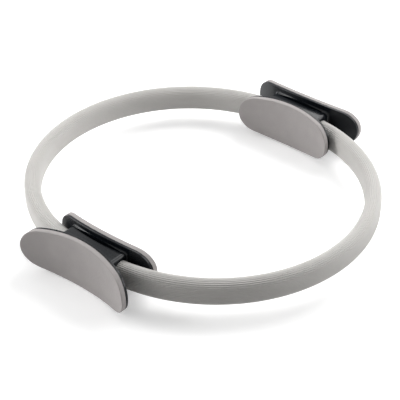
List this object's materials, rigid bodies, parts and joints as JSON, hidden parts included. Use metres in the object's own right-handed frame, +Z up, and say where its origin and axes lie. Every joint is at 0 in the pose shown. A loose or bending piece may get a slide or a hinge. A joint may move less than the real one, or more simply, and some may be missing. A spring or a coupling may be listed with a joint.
{
  "type": "pilates ring",
  "caption": "Flexible pilates ring: springy bows in ribbed soft sleeves, joined by hourglass handles with hollow pads inside and outside, squeezed between hands or legs for resistance.",
  "frame": {"origin": "middle of the ring seen from above, on the surface that it rests on", "axes": "+X from the front handle to the back handle, +Y towards the left bow, +Z up"},
  "size_m": [0.3902, 0.38, 0.0544],
  "materials": {
    "glass_fibre_strip": "satin pultruded glass fibre",
    "ribbed_sleeve": "matte, finely ribbed along its length",
    "handle_shell": "semi-gloss moulded black",
    "backing_plate": "matte black",
    "soft_pad": "matte soft foam",
    "screw_steel": "zinc plated"
  },
  "bodies": {
    "front_handle_and_bows": {"front_outer_shell": "handle_shell", "front_outer_backing": "backing_plate", "front_outer_pad": "soft_pad", "front_inner_shell": "handle_shell", "front_inner_backing": "backing_plate", "front_inner_pad": "soft_pad", "front_screws": "screw_steel", "left_bow_strip": "glass_fibre_strip", "left_bow_sleeve": "ribbed_sleeve", "right_bow_strip": "glass_fibre_strip", "right_bow_sleeve": "ribbed_sleeve"},
    "back_handle": {"back_outer_shell": "handle_shell", "back_outer_backing": "backing_plate", "back_outer_pad": "soft_pad", "back_inner_shell": "handle_shell", "back_inner_backing": "backing_plate", "back_inner_pad": "soft_pad", "back_screws": "screw_steel"}
  },
  "joints": [
    {"name": "squeeze", "type": "slide", "parent": "front_handle_and_bows", "child": "back_handle", "axis": [-1, 0, 0], "range_m": [-0.03, 0.08], "stiffness_N_per_m": 1500, "deforming": ["left_bow_strip", "right_bow_strip", "left_bow_sleeve", "right_bow_sleeve"]}
  ]
}
